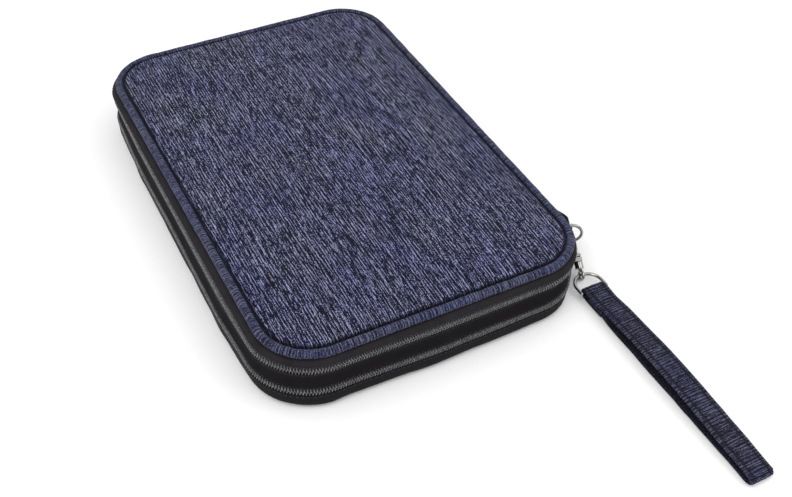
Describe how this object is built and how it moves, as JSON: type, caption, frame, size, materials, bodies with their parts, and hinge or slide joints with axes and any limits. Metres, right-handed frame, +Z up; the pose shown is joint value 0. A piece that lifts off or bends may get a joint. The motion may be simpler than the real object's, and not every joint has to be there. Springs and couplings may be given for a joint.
{
  "type": "cable organizer pouch",
  "caption": "Flat padded fabric case with two zip-round compartments, inner elastic loops and mesh pockets, and a clip-on wrist strap.",
  "frame": {"origin": "centre of the base cover, on the surface that the pouch lies on", "axes": "+Z up out of the base cover, +Y along the long side towards the back, +X towards the spine"},
  "size_m": [0.2104, 0.439, 0.039],
  "materials": {
    "navy_fabric": "heather woven polyester",
    "navy_piping": "heather fabric over a cord",
    "black_gusset": "woven nylon",
    "black_tape": "herringbone tape",
    "black_coil": "nylon coil",
    "lining": "smooth woven lining",
    "foam": "stiff foam board",
    "mesh": "knitted mesh",
    "elastic": "ribbed elastic",
    "steel_chrome": "polished",
    "painted_zip_metal": "semi-gloss black",
    "webbing": "woven webbing",
    "strap_fabric": "heather woven polyester, folded and sewn"
  },
  "bodies": {
    "base": {"base_cover": "navy_fabric", "base_board": "foam", "base_lining": "lining", "base_piping": "navy_piping", "base_gusset": "black_gusset", "base_lower_tape": "black_tape", "base_lower_coil": "black_coil", "base_mesh_pocket": "mesh", "base_pocket_binding": "black_tape"},
    "tray": {"divider_lower_lining": "lining", "divider_board": "foam", "divider_upper_lining": "lining", "front_elastic_loops": "elastic", "middle_elastic_loops": "elastic", "back_elastic_loops": "elastic", "tray_gusset": "black_gusset", "tray_lower_tape": "black_tape", "tray_lower_coil": "black_coil", "tray_upper_tape": "black_tape", "tray_upper_coil": "black_coil", "spine_panel": "black_gusset", "ring_tab": "webbing"},
    "lid": {"lid_lining": "lining", "lid_board": "foam", "lid_cover": "navy_fabric", "lid_piping": "navy_piping", "lid_gusset": "black_gusset", "lid_upper_tape": "black_tape", "lid_upper_coil": "black_coil", "lid_mesh_pocket": "mesh", "lid_pocket_binding": "black_tape"},
    "upper_left_slider": {"upper_left_slider": "painted_zip_metal"},
    "upper_left_pull": {"upper_left_pull": "painted_zip_metal"},
    "upper_right_slider": {"upper_right_slider": "painted_zip_metal"},
    "upper_right_pull": {"upper_right_pull": "painted_zip_metal"},
    "lower_left_slider": {"lower_left_slider": "painted_zip_metal"},
    "lower_left_pull": {"lower_left_pull": "painted_zip_metal"},
    "lower_right_slider": {"lower_right_slider": "painted_zip_metal"},
    "lower_right_pull": {"lower_right_pull": "painted_zip_metal"},
    "pouch_ring": {"pouch_ring": "steel_chrome"},
    "snap_hook": {"snap_hook_body": "steel_chrome", "gate_pin": "steel_chrome"},
    "gate": {"gate": "steel_chrome"},
    "swivel_eye": {"swivel_eye": "steel_chrome"},
    "strap_ring": {"strap_ring": "steel_chrome"},
    "wrist_strap": {"wrist_strap": "strap_fabric"}
  },
  "joints": [
    {"name": "tray_hinge", "type": "hinge", "parent": "base", "child": "tray", "pos_m": [0.0995, 0, 0.0015], "axis": [0, 1, 0], "range_deg": [0, 95]},
    {"name": "lid_hinge", "type": "hinge", "parent": "tray", "child": "lid", "pos_m": [0.098, 0, 0.0338], "axis": [0, -1, 0], "range_deg": [-180, 0]},
    {"name": "upper_left_zip_slide", "type": "slide", "parent": "tray", "child": "upper_left_slider", "axis": [1, 0, 0], "range_m": [-0.05, 0]},
    {"name": "upper_left_pull_hinge", "type": "hinge", "parent": "upper_left_slider", "child": "upper_left_pull", "pos_m": [-0.0065, 0.15185, 0.029], "axis": [0, 0, -1], "range_deg": [0, 110]},
    {"name": "upper_right_zip_slide", "type": "slide", "parent": "tray", "child": "upper_right_slider", "axis": [1, 0, 0], "range_m": [0, 0.05]},
    {"name": "upper_right_pull_hinge", "type": "hinge", "parent": "upper_right_slider", "child": "upper_right_pull", "pos_m": [0.0065, 0.15185, 0.029], "axis": [0, 0, 1], "range_deg": [0, 110]},
    {"name": "lower_left_zip_slide", "type": "slide", "parent": "base", "child": "lower_left_slider", "axis": [1, 0, 0], "range_m": [-0.05, 0]},
    {"name": "lower_left_pull_hinge", "type": "hinge", "parent": "lower_left_slider", "child": "lower_left_pull", "pos_m": [-0.0065, 0.15305, 0.0135], "axis": [0, 0, -1], "range_deg": [0, 110]},
    {"name": "lower_right_zip_slide", "type": "slide", "parent": "base", "child": "lower_right_slider", "axis": [1, 0, 0], "range_m": [0, 0.05]},
    {"name": "lower_right_pull_hinge", "type": "hinge", "parent": "lower_right_slider", "child": "lower_right_pull", "pos_m": [0.0065, 0.15305, 0.0135], "axis": [0, 0, 1], "range_deg": [0, 110]},
    {"name": "pouch_ring_hinge", "type": "hinge", "parent": "tray", "child": "pouch_ring", "pos_m": [0.102, -0.109, 0.02], "axis": [0, 0, 1], "range_deg": [0, 25]},
    {"name": "snap_hook_hinge", "type": "hinge", "parent": "pouch_ring", "child": "snap_hook", "pos_m": [0.10548, -0.11091, 0.01412], "axis": [-0.944, 0.3115, -0.1093], "range_deg": [-50, 0]},
    {"name": "gate_hinge", "type": "hinge", "parent": "snap_hook", "child": "gate", "pos_m": [0.10251, -0.12071, 0.01182], "axis": [-0.944, 0.3115, -0.1093], "range_deg": [0, 25], "stiffness_Nm_per_rad": 0.002},
    {"name": "swivel", "type": "hinge", "parent": "snap_hook", "child": "swivel_eye", "pos_m": [0.1009, -0.1285, 0.0035], "axis": [-0.2173, -0.8356, -0.5045], "range_deg": [-25, 25]},
    {"name": "strap_ring_hinge", "type": "hinge", "parent": "swivel_eye", "child": "strap_ring", "pos_m": [0.1009, -0.1285, 0.0035], "axis": [1, 0, 0], "range_deg": [-10, 60]},
    {"name": "wrist_strap_hinge", "type": "hinge", "parent": "strap_ring", "child": "wrist_strap", "pos_m": [0.1009, -0.1415, 0.0035], "axis": [-1, 0, 0], "range_deg": [-60, 90]}
  ]
}
